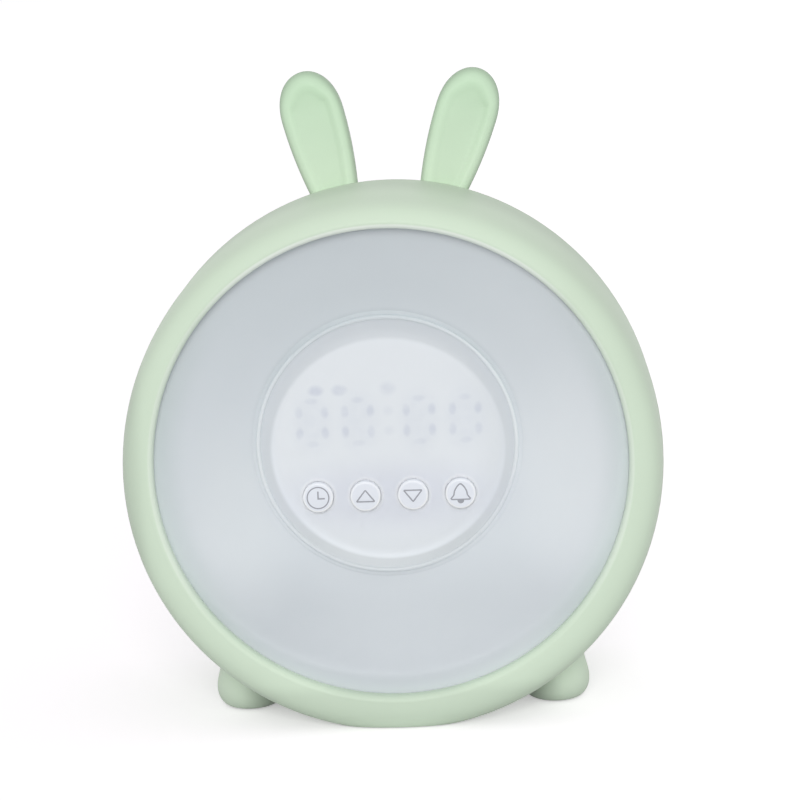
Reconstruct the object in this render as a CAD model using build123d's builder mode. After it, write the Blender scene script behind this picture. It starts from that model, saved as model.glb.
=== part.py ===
from build123d import *
import os
from math import cos, radians, sin, sqrt

# Bunny-eared bedside clock with a night light. Millimetres, +Z up, the face looks along -Y,
# origin on the table under the middle of the casing.

# ---------------------------------------------------------------- driving dimensions
# Casing. Depths are counted backwards from the seam between the rim and the diffuser.
body_radius = 84.5
casing_depth = 86.6
rim_proud = 3.6
parting_depth = 68.0
wall = 2.2
back_depth = casing_depth - rim_proud
seam_y = rim_proud - casing_depth / 2

# Heights of the three parallel axes: casing, rim opening, display. The display's axis also
# stands a little to the left of the other two.
pad_proud = 0.3
casing_z = 80.3
opening_z = casing_z + 2.9
display_z = opening_z + 4.3
display_x = -1.25

# Rim opening and diffuser
opening_radius = 72.25
rim_edge_radius = 1.8
seat_radius = 75.2
diffuser_radius = 75.0
diffuser_thickness = 2.0
flange_inner = 73.2
ring_radius = 39.6
dish_radius = 33.5
floor_depth = 12.0
floor_thickness = 1.6

# Push buttons
button_radius = 4.7
button_clearance = 0.07
button_pitch = 14.7
button_drop = 16.1
button_top_depth = 9.6
button_names = ["clock", "up", "down", "alarm"]
switch_size = 6.0
switch_height = 3.5

# Display stack
hood_radius = 36.4
hood_depth = 15.4
hood_face = 1.4
display_board_radius = 34.5
display_board_depth = 22.0
board_thickness = 1.6
digit_rise = 7.15
digit_pitch = 14.2
colon_half_gap = 9.45
bar_length = 4.6
bar_width = 1.8
display_boss_radius = 28.6
display_boss_angles = [90, -52, 232]

# Light box
led_board_depth = 42.4
led_board_radius = 58.0
led_ring_radius = 48.0
led_count = 24
reflector_floor = 1.4
lug_radius = 74.0
lug_angles = [90, 210, 330]
lug_boss_start = 30.0

# Screw holes: pilot holes that the screws bite into, and clearance holes that they pass
screw_pilot = 1.3
screw_clearance = 1.5

# Casing screws, on one circle
case_screw_circle = 66.5
case_screw_count = 5
case_boss_radius = 3.8
case_post_radius = 4.4
boss_start = 48.0
boss_end = parting_depth - 2.0
rib_thickness = 1.8

# Lip of the rear cover that slides into the shell
lip_inner = 80.2
lip_outer = 81.5
lip_length = 2.5
rib_end = parting_depth - lip_length - 1.0

# Main board and power socket
main_board_depth = 72.0
main_board_size = (68.0, 60.0)
main_board_centre = (12.0, 54.0)
main_post_spacing = (60.0, 52.0)
socket_centre = (28.0, 44.0)

# Flat cable between the two boards
cable_z = 78.0
cable_slot_size = (13.0, 3.0)

# Speaker
speaker_radius = 20.0
speaker_z = casing_z + 31.0
speaker_screw_angles = [90, 210, 330]
speaker_screw_circle = 22.6
terminal_z = speaker_z - 18.8
grille_rings = [(0.0, 1), (4.6, 6), (9.2, 12), (13.8, 18)]
grille_hole_radius = 1.2

# Battery compartment with a quarter-turn cap
battery_centre = (-40.0, 56.0)
cap_radius = 14.5
cap_thickness = 2.0
cap_release_angle = 50.0
cell_radius = 10.0
cell_thickness = 3.2

# Ears: each stands at its own slight tilt, positive towards +X
ear_front_depth = 62.0
ear_thickness = 12.0
ear_length = 35.1
ear_root_z = 165.5
ears = {"left_ear": (-18.7, -14.0), "right_ear": (19.4, 18.9)}
neck_size = (11.0, 7.0)
neck_depth = 8.8
anchor_size = (15.0, 9.0)
anchor_thickness = 2.6

# Feet and pads
foot_x = 48.9
foot_depth = 28.5
foot_radius = 10.9
pad_thickness = 1.3

os.makedirs("parts", exist_ok=True)


# ---------------------------------------------------------------- planes and outlines
def side_plane(height, x=0.0):
    """Half-section plane: local x is the depth behind the seam, local y the radius."""
    return Plane(origin=(x, seam_y, height), x_dir=(0, 1, 0), z_dir=(1, 0, 0))


def face_plane(depth, height, x=0.0):
    """Plane across the casing that looks to the front: local x is +X, local y is +Z."""
    return Plane(origin=(x, seam_y + depth, height), x_dir=(1, 0, 0), z_dir=(0, -1, 0))


def back_plane(depth, height, x=0.0):
    """Plane across the casing that looks to the back."""
    return Plane(origin=(x, seam_y + depth, height), x_dir=(-1, 0, 0), z_dir=(0, 1, 0))


def depth_axis(height, x=0.0):
    """Axis along the casing's depth at this height."""
    return Axis((x, 0, height), (0, 1, 0))


def around(plane, radius, angles):
    """Planes moved out by radius at each angle, turned so that local x points outwards."""
    spots = []
    for angle in angles:
        outwards = plane.x_dir * cos(radians(angle)) + plane.y_dir * sin(radians(angle))
        spots.append(Plane(plane.origin + outwards * radius, x_dir=outwards, z_dir=plane.z_dir))
    return spots


def disc(plane, radius):
    with BuildSketch(plane) as shape:
        Circle(radius)
    return shape.sketch


def ring(plane, outer, inner):
    with BuildSketch(plane) as shape:
        Circle(outer)
        Circle(inner, mode=Mode.SUBTRACT)
    return shape.sketch


def plate(plane, width, height, corner=0.0):
    with BuildSketch(plane) as shape:
        if corner:
            RectangleRounded(width, height, corner)
        else:
            Rectangle(width, height)
    return shape.sketch


def section(plane, points):
    with BuildSketch(plane) as shape:
        with BuildLine():
            Polyline(*points, close=True)
        make_face()
    return shape.sketch


def screw(plane, head_radius, head_height, shank_radius, length):
    """Pan-head screw: the plane lies under the head and looks out of it."""
    with BuildPart() as one:
        extrude(disc(plane, head_radius), amount=head_height)
        fillet(one.edges().sort_by(Axis(plane.origin, plane.z_dir))[-1], head_height * 0.35)
        extrude(disc(plane, shank_radius), amount=-length)
        for width, height in ((head_radius, 0.5), (0.5, head_radius)):
            slot = plate(plane.offset(head_height), width, height)
            extrude(slot, amount=-head_height / 2, mode=Mode.SUBTRACT)
    return one.part


case_screw_angles = [-90 + 360 / case_screw_count * i for i in range(case_screw_count)]
button_xs = [display_x + (i - 1.5) * button_pitch for i in range(len(button_names))]
button_z = display_z - button_drop
digits_z = display_z + digit_rise
digit_xs = [
    display_x - colon_half_gap - digit_pitch,
    display_x - colon_half_gap,
    display_x + colon_half_gap,
    display_x + colon_half_gap + digit_pitch,
]
reflector_depth = led_board_depth + board_thickness
reflector_back_depth = reflector_depth + reflector_floor


def display_boss_spots(depth):
    """Planes at the three screws that hold the display stack together."""
    centre = face_plane(depth, display_z, display_x)
    return around(centre, display_boss_radius, display_boss_angles)


# ---------------------------------------------------------------- casing outline
with BuildSketch(side_plane(casing_z)) as casing_section:
    with BuildLine():
        nose = Spline((-3.3, 68.0), (-rim_proud, 73.2), (-2.5, 78.0), (0.8, 81.3))
        side = Spline(
            nose @ 1,
            (8, 83.1),
            (20, 84.1),
            (42, body_radius),
            (70, 83.4),
            tangents=(nose % 1, (1, -0.1)),
        )
        corner = Spline(side @ 1, (79.4, 79.2), (back_depth, 71), tangents=(side % 1, (0, -1)))
        Polyline(corner @ 1, (back_depth, 0), (-3.3, 0), nose @ 0)
    make_face()

with BuildSketch(side_plane(casing_z)) as front_cavity_section:
    with BuildLine():
        past_parting = parting_depth + 4
        roof = Spline((3, 79.3), (20, 81.6), (50, body_radius - wall), (past_parting, 81.7))
        Polyline(roof @ 1, (past_parting, 0), (3, 0), roof @ 0)
    make_face()

# The rear cover's cavity is narrower at its front, where its lip slides into the shell.
rear_wall_depth = back_depth - wall
cavity_front = parting_depth - lip_length - 1
with BuildSketch(side_plane(casing_z)) as rear_cavity_section:
    with BuildLine():
        Polyline((cavity_front, 0), (cavity_front, lip_inner), (parting_depth + 2, lip_inner))
        bend = Spline(
            (parting_depth + 2, lip_inner),
            (77.6, 76.6),
            (rear_wall_depth, 69),
            tangents=((1, -0.1), (0, -1)),
        )
        Polyline(bend @ 1, (rear_wall_depth, 0), (cavity_front, 0))
    make_face()

with BuildPart() as casing_envelope:
    revolve(casing_section.sketch, axis=depth_axis(casing_z))

base_floor = Plane.XY.offset(pad_proud + wall + 0.2)
with BuildPart() as front_cavity:
    revolve(front_cavity_section.sketch, axis=depth_axis(casing_z))
    split(bisect_by=base_floor, keep=Keep.TOP)

with BuildPart() as rear_cavity:
    revolve(rear_cavity_section.sketch, axis=depth_axis(casing_z))
    split(bisect_by=base_floor, keep=Keep.TOP)

with BuildPart() as cover_lip:
    lip_start = parting_depth - lip_length
    extrude(ring(face_plane(lip_start, casing_z), lip_outer, lip_inner), amount=-lip_length)
    split(bisect_by=base_floor.offset(0.3), keep=Keep.TOP)

with BuildPart() as below_base:
    extrude(plate(Plane.XY.offset(pad_proud), 300, 300), amount=-20)


# Fine groove where the shell and the rear cover meet
groove_points = [(parting_depth - 0.35, 84.5), (parting_depth, 83.25), (parting_depth + 0.35, 84.5)]
with BuildPart() as parting_groove:
    revolve(section(side_plane(casing_z), groove_points), axis=depth_axis(casing_z))


# Ear frames: origin on the ear's middle line at the casing, local y up the ear.
def ear_plane(name):
    x, tilt = ears[name]
    middle = seam_y + ear_front_depth + ear_thickness / 2
    lean = radians(tilt)
    return Plane(origin=(x, middle, ear_root_z), x_dir=(cos(lean), 0, -sin(lean)), z_dir=(0, -1, 0))


def across_ear(name, rise):
    """Plane square to the ear's length, this far up from its root."""
    frame = ear_plane(name)
    return Plane(frame.origin + frame.y_dir * rise, x_dir=frame.x_dir, z_dir=frame.y_dir)


with BuildPart() as ear_slots:
    for ear in ears:
        extrude(plate(across_ear(ear, -9.0), neck_size[0] + 0.4, neck_size[1] + 0.4), amount=12)


# Foot screw frames: on the casing's outer surface, looking outwards.
foot_reach = 84.3
foot_top_z = casing_z - sqrt(foot_reach**2 - foot_x**2)


def foot_screw_plane(hand, inset=0.0, inwards=False):
    """Plane square to the screw, sunk by the inset below the casing's outer surface."""
    outwards = Vector(hand * foot_x, 0, foot_top_z - casing_z).normalized()
    origin = Vector(hand * foot_x, seam_y + foot_depth, foot_top_z) - outwards * inset
    return Plane(origin=origin, x_dir=(0, 1, 0), z_dir=outwards * (-1 if inwards else 1))


# Pocket for the long anti-slip pad under the casing
base_pad_size = (26.0, 50.0)
base_pad_y = seam_y + 35.0
base_pad_plane = Plane(origin=(0, base_pad_y, 0))

# ---------------------------------------------------------------- front shell
parting_plane = Plane.XZ.offset(-(seam_y + parting_depth))
with BuildPart() as front_shell:
    revolve(casing_section.sketch, axis=depth_axis(casing_z))
    add(front_cavity.part, mode=Mode.SUBTRACT)
    extrude(disc(face_plane(-10, opening_z), opening_radius), amount=-10.5, mode=Mode.SUBTRACT)
    rim_edge = front_shell.edges().sort_by(Axis.Y)[0]
    fillet(rim_edge, rim_edge_radius)
    extrude(disc(face_plane(0, opening_z), seat_radius), amount=-4, mode=Mode.SUBTRACT)
    split(bisect_by=parting_plane, keep=Keep.TOP)
    # Bosses for the casing screws, each with a rib to the wall
    for spot in around(face_plane(boss_start, casing_z), case_screw_circle, case_screw_angles):
        extrude(disc(spot, case_boss_radius), amount=boss_start - boss_end)
        with BuildSketch(spot):
            Rectangle(17.0, rib_thickness, align=(Align.MIN, Align.CENTER))
        extrude(amount=boss_start - rib_end)
        extrude(disc(spot, screw_pilot), amount=boss_start - boss_end, mode=Mode.SUBTRACT)
    # Bosses that carry the reflector's lugs
    lug_boss_length = reflector_depth - lug_boss_start
    for spot in around(face_plane(lug_boss_start, casing_z), lug_radius, lug_angles):
        extrude(disc(spot, 3.5), amount=-lug_boss_length)
        with BuildSketch(spot):
            Rectangle(9.0, rib_thickness, align=(Align.MIN, Align.CENTER))
        extrude(amount=-lug_boss_length)
        extrude(disc(spot, screw_pilot), amount=-lug_boss_length, mode=Mode.SUBTRACT)
    # Seats and holes for the foot screws
    for hand in (-1, 1):
        extrude(disc(foot_screw_plane(hand, 1.5), 5.0), amount=-3.0)
        foot_hole = disc(foot_screw_plane(hand), screw_clearance)
        extrude(foot_hole, amount=6, both=True, mode=Mode.SUBTRACT)
    add(parting_groove.part, mode=Mode.SUBTRACT)
    add(ear_slots.part, mode=Mode.SUBTRACT)
    add(below_base.part, mode=Mode.SUBTRACT)
    extrude(plate(base_pad_plane, *base_pad_size, 4), amount=pad_thickness, mode=Mode.SUBTRACT)
front_shell.part.label = "front_shell"
export_step(front_shell.part, "parts/front_shell.step")

# ---------------------------------------------------------------- rear cover
battery_x, battery_z = battery_centre
cap_front_depth = back_depth - cap_thickness
lug_depth = 1.0
ledge_depth = back_depth - 0.9
groove_radius = 16.0
lug_outer = 15.8
cup_depth = 75.2
pocket_depth = 76.4
notch_angles = [-cap_release_angle, 180 - cap_release_angle]
battery_back = back_plane(back_depth, battery_z, battery_x)
with BuildPart() as rear_cover:
    revolve(casing_section.sketch, axis=depth_axis(casing_z))
    split(bisect_by=parting_plane, keep=Keep.BOTTOM)
    add(rear_cavity.part, mode=Mode.SUBTRACT)
    add(cover_lip.part)
    # Posts down to the casing bosses, counterbored for the screws
    for spot in around(back_plane(back_depth, casing_z), case_screw_circle, case_screw_angles):
        extrude(disc(spot, case_post_radius), amount=boss_end + 0.1 - back_depth)
        extrude(disc(spot, 1.7), amount=-20, mode=Mode.SUBTRACT)
        extrude(disc(spot, 3.2), amount=main_board_depth - back_depth, mode=Mode.SUBTRACT)
    # Posts for the main board
    with BuildSketch(face_plane(main_board_depth + board_thickness, main_board_centre[1])):
        with Locations((main_board_centre[0], 0)):
            with GridLocations(*main_post_spacing, 2, 2):
                Circle(3.2)
                Circle(1.1, mode=Mode.SUBTRACT)
    extrude(amount=main_board_depth + board_thickness - rear_wall_depth)
    # Grille and the seat around the speaker
    speaker_pocket = speaker_radius + 0.3
    speaker_seat = ring(face_plane(79.4, speaker_z), speaker_radius + 1.8, speaker_pocket)
    extrude(speaker_seat, amount=79.4 - rear_wall_depth)
    for spot in around(face_plane(79.3, speaker_z), speaker_screw_circle, speaker_screw_angles):
        extrude(disc(spot, 2.6), amount=79.3 - rear_wall_depth)
        extrude(disc(spot, 1.0), amount=79.3 - rear_wall_depth, mode=Mode.SUBTRACT)
    speaker_room = disc(face_plane(70, speaker_z), speaker_pocket)
    extrude(speaker_room, amount=70 - rear_wall_depth, mode=Mode.SUBTRACT)
    for circle_radius, holes in grille_rings:
        with BuildSketch(back_plane(back_depth, speaker_z)):
            with PolarLocations(circle_radius, holes):
                Circle(grille_hole_radius)
        extrude(amount=-wall, mode=Mode.SUBTRACT)
    # Battery cup, cap recess, groove under the ledge and the two release notches
    extrude(disc(battery_back, groove_radius + 1.8), amount=-4.2)
    extrude(disc(battery_back, cell_radius + 2.6), amount=cup_depth - back_depth)
    extrude(disc(battery_back, cap_radius + 0.2), amount=-cap_thickness - 0.1, mode=Mode.SUBTRACT)
    groove = disc(back_plane(ledge_depth, battery_z, battery_x), groove_radius)
    extrude(groove, amount=cap_front_depth - 0.1 - ledge_depth, mode=Mode.SUBTRACT)
    pocket = disc(battery_back, cell_radius + 0.8)
    extrude(pocket, amount=pocket_depth - back_depth, mode=Mode.SUBTRACT)
    for spot in around(face_plane(back_depth, battery_z, battery_x), cap_radius, notch_angles):
        notch = plate(spot, 2 * (groove_radius - cap_radius), 8.0)
        extrude(notch, amount=0.9, mode=Mode.SUBTRACT)
    # Power socket: a shallow recess for the plug's grip and the port behind it
    socket_back = back_plane(back_depth, socket_centre[1], socket_centre[0])
    extrude(plate(socket_back, 13.0, 8.0, 2.5), amount=-1.0, mode=Mode.SUBTRACT)
    extrude(plate(socket_back, 8.4, 3.8, 1.0), amount=-wall, mode=Mode.SUBTRACT)
    add(parting_groove.part, mode=Mode.SUBTRACT)
    add(ear_slots.part, mode=Mode.SUBTRACT)
    add(below_base.part, mode=Mode.SUBTRACT)
rear_cover.part.label = "rear_cover"
export_step(rear_cover.part, "parts/rear_cover.step")

# ---------------------------------------------------------------- ears
for ear in ears:
    with BuildPart() as ear_part:
        with BuildSketch(ear_plane(ear)):
            with BuildLine():
                rim_line = Spline(
                    (8.4, -1.0),
                    (10.1, 20.2),
                    (7.15, 31.2),
                    (0, ear_length),
                    tangents=((0.03, 1), (-1, 0)),
                )
                Polyline(rim_line @ 0, (8.4, -13.0), (0, -13.0), rim_line @ 1)
            make_face()
            mirror(about=Plane.YZ)
        extrude(amount=ear_thickness / 2, both=True)
        flat_edges = ear_part.faces().filter_by(Axis.Y).edges()
        fillet(flat_edges, 4.4)
        add(casing_envelope.part, mode=Mode.SUBTRACT)
        extrude(plate(across_ear(ear, -neck_depth), *neck_size), amount=neck_depth + 1)
        extrude(plate(across_ear(ear, -neck_depth), *anchor_size, 2.0), amount=-anchor_thickness)
    ear_part.part.label = ear
    export_step(ear_part.part, f"parts/{ear}.step")

# ---------------------------------------------------------------- feet and pads
for hand, foot_name in ((-1, "left_foot"), (1, "right_foot")):
    with BuildPart() as foot:
        with BuildSketch(face_plane(foot_depth, 0, hand * foot_x)):
            with BuildLine():
                Line((0, pad_proud), (6.2, pad_proud))
                heel = Spline(
                    (6.2, pad_proud),
                    (9.7, 2.0),
                    (foot_radius, 7.3),
                    (9.5, 13.8),
                    (6.8, 17.6),
                    tangents=((1, 0), (-1, 1)),
                )
                Polyline(heel @ 1, (0, 21.0), (0, pad_proud))
            make_face()
        revolve(axis=Axis((hand * foot_x, seam_y + foot_depth, 0), (0, 0, 1)))
        add(casing_envelope.part, mode=Mode.SUBTRACT)
        extrude(disc(foot_screw_plane(hand, 2.0), screw_pilot), amount=10.5, mode=Mode.SUBTRACT)
        foot_base = Plane(origin=(hand * foot_x, seam_y + foot_depth, 0))
        extrude(disc(foot_base, 5.6), amount=pad_thickness, mode=Mode.SUBTRACT)
    foot.part.label = foot_name
    export_step(foot.part, f"parts/{foot_name}.step")

with BuildPart() as foot_pads:
    for hand in (-1, 1):
        foot_base = Plane(origin=(hand * foot_x, seam_y + foot_depth, 0))
        extrude(disc(foot_base, 5.5), amount=pad_thickness)
foot_pads.part.label = "foot_pads"
export_step(foot_pads.part, "parts/foot_pads.step")

with BuildPart() as base_pad:
    pad_width, pad_length = base_pad_size
    extrude(plate(base_pad_plane, pad_width - 0.2, pad_length - 0.2, 3.9), amount=pad_thickness)
base_pad.part.label = "base_pad"
export_step(base_pad.part, "parts/base_pad.step")

foot_screw_list = [
    screw(foot_screw_plane(hand, 4.5, inwards=True), 2.8, 1.8, 1.25, 12.0)
    for hand in (-1, 1)
]
with BuildPart() as foot_screws:
    add(foot_screw_list)
foot_screws.part.label = "foot_screws"
export_step(foot_screws.part, "parts/foot_screws.step")

# ---------------------------------------------------------------- diffuser
with BuildPart() as diffuser:
    with BuildSketch(side_plane(display_z, display_x)):
        with BuildLine():
            dish = Line((floor_depth, 0), (floor_depth, dish_radius))
            slope = Spline(dish @ 1, (10.3, ring_radius - 0.6), tangents=((0, 1), (-0.4, 1)))
            bead = ThreePointArc(slope @ 1, (9.6, ring_radius + 0.25), (10.2, ring_radius + 0.95))
            foot_line = Line(bead @ 1, (10.4, ring_radius + 2.1))
            bowl = Spline(
                foot_line @ 1, (6.6, 54), (1.2, 68.4), (0, 72.6), tangents=((-0.2, 1), (0, 1))
            )
            edge = Polyline(bowl @ 1, (0, 80), (diffuser_thickness, 80), (diffuser_thickness, 72.8))
            back = Spline(
                edge @ 1, (3.3, 68.4), (8.8, 54), (12.9, 41.8), tangents=((0, -1), (0.2, -1))
            )
            floor_back = floor_depth + floor_thickness
            Polyline(back @ 1, (floor_back, 40.4), (floor_back, 0), (floor_depth, 0))
        make_face()
    revolve(axis=depth_axis(display_z, display_x))
    extrude(disc(face_plane(-5, opening_z), diffuser_radius), amount=-40, mode=Mode.INTERSECT)
    rebate = ring(face_plane(diffuser_thickness, opening_z), diffuser_radius + 1, flange_inner - 0.2)
    extrude(rebate, amount=-6, mode=Mode.SUBTRACT)
    for x in button_xs:
        hole = disc(face_plane(5, button_z, x), button_radius + button_clearance)
        extrude(hole, amount=-15, mode=Mode.SUBTRACT)
diffuser.part.label = "diffuser"
export_step(diffuser.part, "parts/diffuser.step")

# ---------------------------------------------------------------- reflector and light board
with BuildPart() as reflector:
    cone_front = diffuser_thickness
    bowl_points = [
        (cone_front, diffuser_radius),
        (cone_front, flange_inner),
        (cone_front + 1.2, flange_inner),
        (reflector_depth, 60.0),
        (reflector_depth, 0),
        (reflector_back_depth, 0),
        (reflector_back_depth, 61.4),
        (cone_front + 2.4, 74.2),
        (cone_front + 1.2, diffuser_radius),
    ]
    revolve(section(side_plane(opening_z), bowl_points), axis=depth_axis(opening_z))
    for spot in around(face_plane(reflector_depth, casing_z), lug_radius, lug_angles):
        with BuildSketch(spot):
            with Locations((-8.0, 0)):
                Rectangle(16.0, 8.0)
            Circle(4.0)
            Circle(1.5, mode=Mode.SUBTRACT)
        extrude(amount=-reflector_floor)
    for spot in display_boss_spots(reflector_depth):
        extrude(disc(spot, screw_clearance), amount=-reflector_floor, mode=Mode.SUBTRACT)
    cable_slot = plate(face_plane(reflector_depth, cable_z), *cable_slot_size)
    extrude(cable_slot, amount=-reflector_floor, mode=Mode.SUBTRACT)
reflector.part.label = "reflector"
export_step(reflector.part, "parts/reflector.step")

with BuildPart() as led_board:
    extrude(disc(face_plane(led_board_depth, opening_z), led_board_radius), amount=-board_thickness)
    for spot in display_boss_spots(led_board_depth):
        extrude(disc(spot, screw_clearance), amount=-board_thickness, mode=Mode.SUBTRACT)
    cable_slot = plate(face_plane(led_board_depth, cable_z), *cable_slot_size)
    extrude(cable_slot, amount=-board_thickness, mode=Mode.SUBTRACT)
led_board.part.label = "led_board"
export_step(led_board.part, "parts/led_board.step")

with BuildPart() as light_leds:
    with BuildSketch(face_plane(led_board_depth, opening_z)):
        with PolarLocations(led_ring_radius, led_count):
            Rectangle(3.5, 2.8)
    extrude(amount=1.9)
light_leds.part.label = "light_leds"
export_step(light_leds.part, "parts/light_leds.step")

lug_planes = around(back_plane(reflector_back_depth, casing_z), lug_radius, lug_angles)
reflector_screw_list = [screw(spot, 2.6, 1.7, 1.25, 10.0) for spot in lug_planes]
with BuildPart() as reflector_screws:
    add(reflector_screw_list)
reflector_screws.part.label = "reflector_screws"
export_step(reflector_screws.part, "parts/reflector_screws.step")

# ---------------------------------------------------------------- display stack
display_board_back = display_board_depth + board_thickness
boss_length = led_board_depth - display_board_back
with BuildPart() as display_stand:
    stand_front = face_plane(display_board_back, display_z, display_x)
    extrude(ring(stand_front, 33.0, 31.5), amount=-boss_length)
    for spot in display_boss_spots(display_board_back):
        extrude(disc(spot, 3.4), amount=-boss_length)
        extrude(disc(spot, screw_pilot), amount=-boss_length, mode=Mode.SUBTRACT)
display_stand.part.label = "display_stand"
export_step(display_stand.part, "parts/display_stand.step")

with BuildPart() as display_board:
    board_front = face_plane(display_board_depth, display_z, display_x)
    extrude(disc(board_front, display_board_radius), amount=-board_thickness)
    for spot in display_boss_spots(display_board_depth):
        extrude(disc(spot, screw_clearance), amount=-board_thickness, mode=Mode.SUBTRACT)
display_board.part.label = "display_board"
export_step(display_board.part, "parts/display_board.step")


def bar_spots():
    """Middle, width and height of each bar of the four digits, seen from the front."""
    spots = []
    for x in digit_xs:
        for rise in (-6.8, 0.0, 6.8):
            spots.append((x, digits_z + rise, bar_length, bar_width))
        for reach in (-3.9, 3.9):
            for rise in (-3.4, 3.4):
                spots.append((x + reach, digits_z + rise, bar_width, bar_length))
    for reach in (-22.2, -14.8):
        spots.append((display_x + reach, digits_z + 10.2, 3.8, 2.4))
    return spots


dot_spots = [
    (display_x, digits_z - 3.1, 1.0),
    (display_x, digits_z + 3.1, 1.0),
    (display_x, digits_z + 10.3, 1.4),
]


def light_guide_sketch(depth, inset):
    """All windows of the display, drawn smaller by the inset."""
    with BuildSketch(face_plane(depth, 0)) as guides:
        for x, z, width, height in bar_spots():
            with Locations((x, z)):
                RectangleRounded(width - 2 * inset, height - 2 * inset, 0.7)
        for x, z, radius in dot_spots:
            with Locations((x, z)):
                Circle(radius - inset)
    return guides.sketch


with BuildPart() as display_hood:
    hood_front = face_plane(hood_depth, display_z, display_x)
    extrude(disc(hood_front, hood_radius), amount=-hood_face)
    hood_wall = ring(hood_front, hood_radius, display_board_radius + 0.3)
    extrude(hood_wall, amount=hood_depth - display_board_back)
    fillet(display_hood.edges().sort_by(Axis.Y)[0], 0.6)
    for spot in around(hood_front, 31.6, [60, 120, 200, 340]):
        extrude(disc(spot, 1.6), amount=hood_depth - display_board_depth)
    extrude(light_guide_sketch(hood_depth, 0), amount=-hood_face, mode=Mode.SUBTRACT)
    for x in button_xs:
        stem_hole = disc(face_plane(hood_depth, button_z, x), 2.5)
        extrude(stem_hole, amount=-hood_face, mode=Mode.SUBTRACT)
display_hood.part.label = "display_hood"
export_step(display_hood.part, "parts/display_hood.step")

with BuildPart() as digit_segments:
    extrude(light_guide_sketch(hood_depth, 0.03), amount=-4.2)
digit_segments.part.label = "digit_segments"
export_step(digit_segments.part, "parts/digit_segments.step")

with BuildPart() as display_leds:
    with BuildSketch(face_plane(display_board_depth, 0)):
        for x, z, width, height in bar_spots():
            with Locations((x, z)):
                Rectangle(1.6, 0.9)
        for x, z, radius in dot_spots:
            with Locations((x, z)):
                Rectangle(1.6, 0.9)
    extrude(amount=1.2)
display_leds.part.label = "display_leds"
export_step(display_leds.part, "parts/display_leds.step")

front_screw_planes = display_boss_spots(display_board_depth)
display_screw_list = [screw(spot, 2.2, 1.4, 1.25, 8.0) for spot in front_screw_planes]
with BuildPart() as display_screws:
    add(display_screw_list)
display_screws.part.label = "display_screws"
export_step(display_screws.part, "parts/display_screws.step")

stand_screw_planes = [
    Plane(spot.origin + Vector(0, reflector_back_depth - display_board_depth, 0), z_dir=(0, 1, 0))
    for spot in front_screw_planes
]
stand_screw_list = [screw(spot, 2.6, 1.7, 1.25, 10.0) for spot in stand_screw_planes]
with BuildPart() as stand_screws:
    add(stand_screw_list)
stand_screws.part.label = "stand_screws"
export_step(stand_screws.part, "parts/stand_screws.step")

# ---------------------------------------------------------------- buttons and switches
flange_depth = floor_depth + floor_thickness + 0.1
flange_end = flange_depth + 0.9
stem_end = 17.7
for x, name in zip(button_xs, button_names):
    with BuildPart() as button:
        with BuildSketch(side_plane(button_z, x)):
            with BuildLine():
                dome = Spline(
                    (button_top_depth, 0),
                    (button_top_depth + 0.12, 3.4),
                    (button_top_depth + 0.8, button_radius),
                    tangents=((0, 1), (1, 0)),
                )
                Polyline(
                    dome @ 1,
                    (flange_depth, button_radius),
                    (flange_depth, button_radius + 1.0),
                    (flange_end, button_radius + 1.0),
                    (flange_end, 2.0),
                    (stem_end, 2.0),
                    (stem_end, 0),
                    dome @ 0,
                )
            make_face()
        revolve(axis=depth_axis(button_z, x))
    button.part.label = f"button_{name}"
    export_step(button.part, f"parts/button_{name}.step")

    with BuildPart() as plunger:
        extrude(disc(face_plane(stem_end, button_z, x), 1.7), amount=-1.7)
    plunger.part.label = f"plunger_{name}"
    export_step(plunger.part, f"parts/plunger_{name}.step")

switch_depth = display_board_depth - switch_height
with BuildPart() as switch_bodies:
    for x in button_xs:
        switch_front = face_plane(switch_depth, button_z, x)
        extrude(plate(switch_front, switch_size, switch_size, 0.6), amount=-switch_height)
        extrude(disc(switch_front, 1.8), amount=-1.5, mode=Mode.SUBTRACT)
switch_bodies.part.label = "switch_bodies"
export_step(switch_bodies.part, "parts/switch_bodies.step")

# ---------------------------------------------------------------- main board
board_x, board_z = main_board_centre
with BuildPart() as main_board:
    with BuildSketch(face_plane(main_board_depth, board_z, board_x)):
        RectangleRounded(*main_board_size, 3.0)
        with GridLocations(*main_post_spacing, 2, 2):
            Circle(screw_clearance, mode=Mode.SUBTRACT)
    extrude(amount=-board_thickness)
main_board.part.label = "main_board"
export_step(main_board.part, "parts/main_board.step")

chips = [(6, 50, 10, 10, 1.4), (26, 66, 8, 5, 1.6), (30, 36, 6, 5, 1.5), (-10, 56, 5, 3.2, 1.2)]
with BuildPart() as main_chips:
    for x, z, width, height, rise in chips:
        extrude(plate(face_plane(main_board_depth, z, x), width, height), amount=rise)
    for x, z in ((-12, 40), (38, 58)):
        extrude(disc(face_plane(main_board_depth, z, x), 3.1), amount=7.5)
main_chips.part.label = "main_chips"
export_step(main_chips.part, "parts/main_chips.step")

post_reach, post_rise = (spacing / 2 for spacing in main_post_spacing)
main_screw_planes = [
    face_plane(main_board_depth, board_z + up * post_rise, board_x + across * post_reach)
    for up in (-1, 1)
    for across in (-1, 1)
]
main_screw_list = [screw(spot, 2.2, 1.4, 1.05, 7.0) for spot in main_screw_planes]
with BuildPart() as main_board_screws:
    add(main_screw_list)
main_board_screws.part.label = "main_board_screws"
export_step(main_board_screws.part, "parts/main_board_screws.step")

# Flat cable between the boards, in a socket at each end
main_socket_depth = main_board_depth - 3.0
display_socket_end = display_board_back + 3.0
with BuildPart() as cable_sockets:
    extrude(plate(face_plane(display_board_back, cable_z), 13.0, 4.0), amount=-3.0)
    extrude(plate(face_plane(main_board_depth, cable_z), 13.0, 4.0), amount=3.0)
cable_sockets.part.label = "cable_sockets"
export_step(cable_sockets.part, "parts/cable_sockets.step")

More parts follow.
